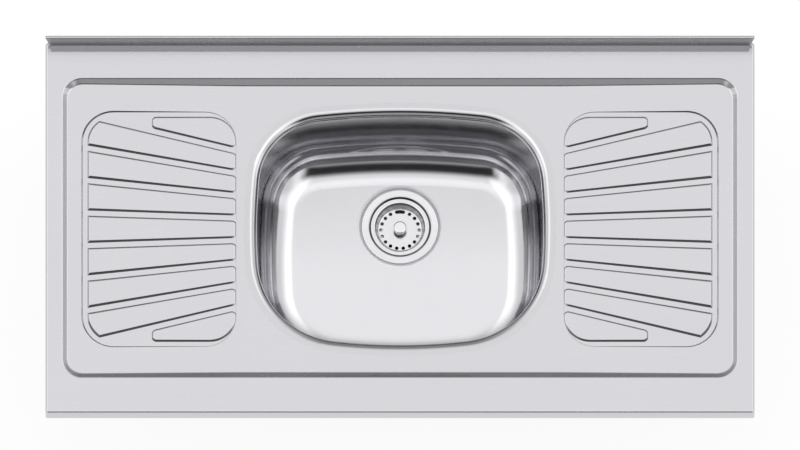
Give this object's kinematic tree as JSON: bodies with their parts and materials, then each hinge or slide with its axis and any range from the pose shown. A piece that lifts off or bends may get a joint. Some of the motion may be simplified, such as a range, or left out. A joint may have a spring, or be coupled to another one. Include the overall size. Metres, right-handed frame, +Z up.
{
  "type": "kitchen sink",
  "caption": "Lay-on stainless steel kitchen sink with one bowl between two grooved drainers, a wall upstand and a lift-out basket strainer waste.",
  "frame": {"origin": "middle of the front seat lip, on the plane that rests on the base cabinet", "axes": "+X to the right and +Y to the wall as someone stands at the sink, +Z up"},
  "size_m": [1, 0.542, 0.3283],
  "materials": {
    "deck_steel": "fine brushed",
    "bowl_steel": "satin",
    "bitumen": "matt",
    "strainer_steel": "polished",
    "sealing_rubber": "matt",
    "fibre_board": "matt",
    "cast_zinc": "dull",
    "pipe_plastic": "satin",
    "nut_plastic": "satin",
    "stem_steel": "drawn",
    "stopper_rubber": "satin",
    "clip_plastic": "satin",
    "basket_steel": "polished",
    "knob_steel": "polished",
    "zinc_sheet": "galvanised",
    "bracket_zinc": "galvanised"
  },
  "bodies": {
    "sink": {"sink_deck": "deck_steel", "sink_bowl": "bowl_steel", "channel_left_inner": "zinc_sheet", "channel_left_outer": "zinc_sheet", "channel_right_inner": "zinc_sheet", "channel_right_outer": "zinc_sheet", "bracket_left_front": "bracket_zinc", "bracket_left_back": "bracket_zinc", "bracket_right_front": "bracket_zinc", "bracket_right_back": "bracket_zinc", "damping_pad": "bitumen", "strainer_body": "strainer_steel", "flange_gasket": "sealing_rubber", "bowl_gasket": "sealing_rubber", "friction_washer": "fibre_board", "lock_nut": "cast_zinc", "spud_washer": "sealing_rubber", "tailpiece": "pipe_plastic", "coupling_nut": "nut_plastic"},
    "stem": {"basket_stem": "stem_steel", "stem_collar": "stem_steel", "stopper_seal": "stopper_rubber", "stopper_retainer": "stem_steel", "stem_clip": "clip_plastic"},
    "basket": {"basket_cup": "basket_steel", "basket_knob": "knob_steel"}
  },
  "joints": [
    {"name": "basket_lift", "type": "slide", "parent": "sink", "child": "stem", "axis": [0, 0, 1], "range_m": [0, 0.26]},
    {"name": "basket_turn", "type": "hinge", "parent": "stem", "child": "basket", "pos_m": [0, 0.3135, -0.1678], "axis": [0, 0, 1], "continuous": true}
  ]
}
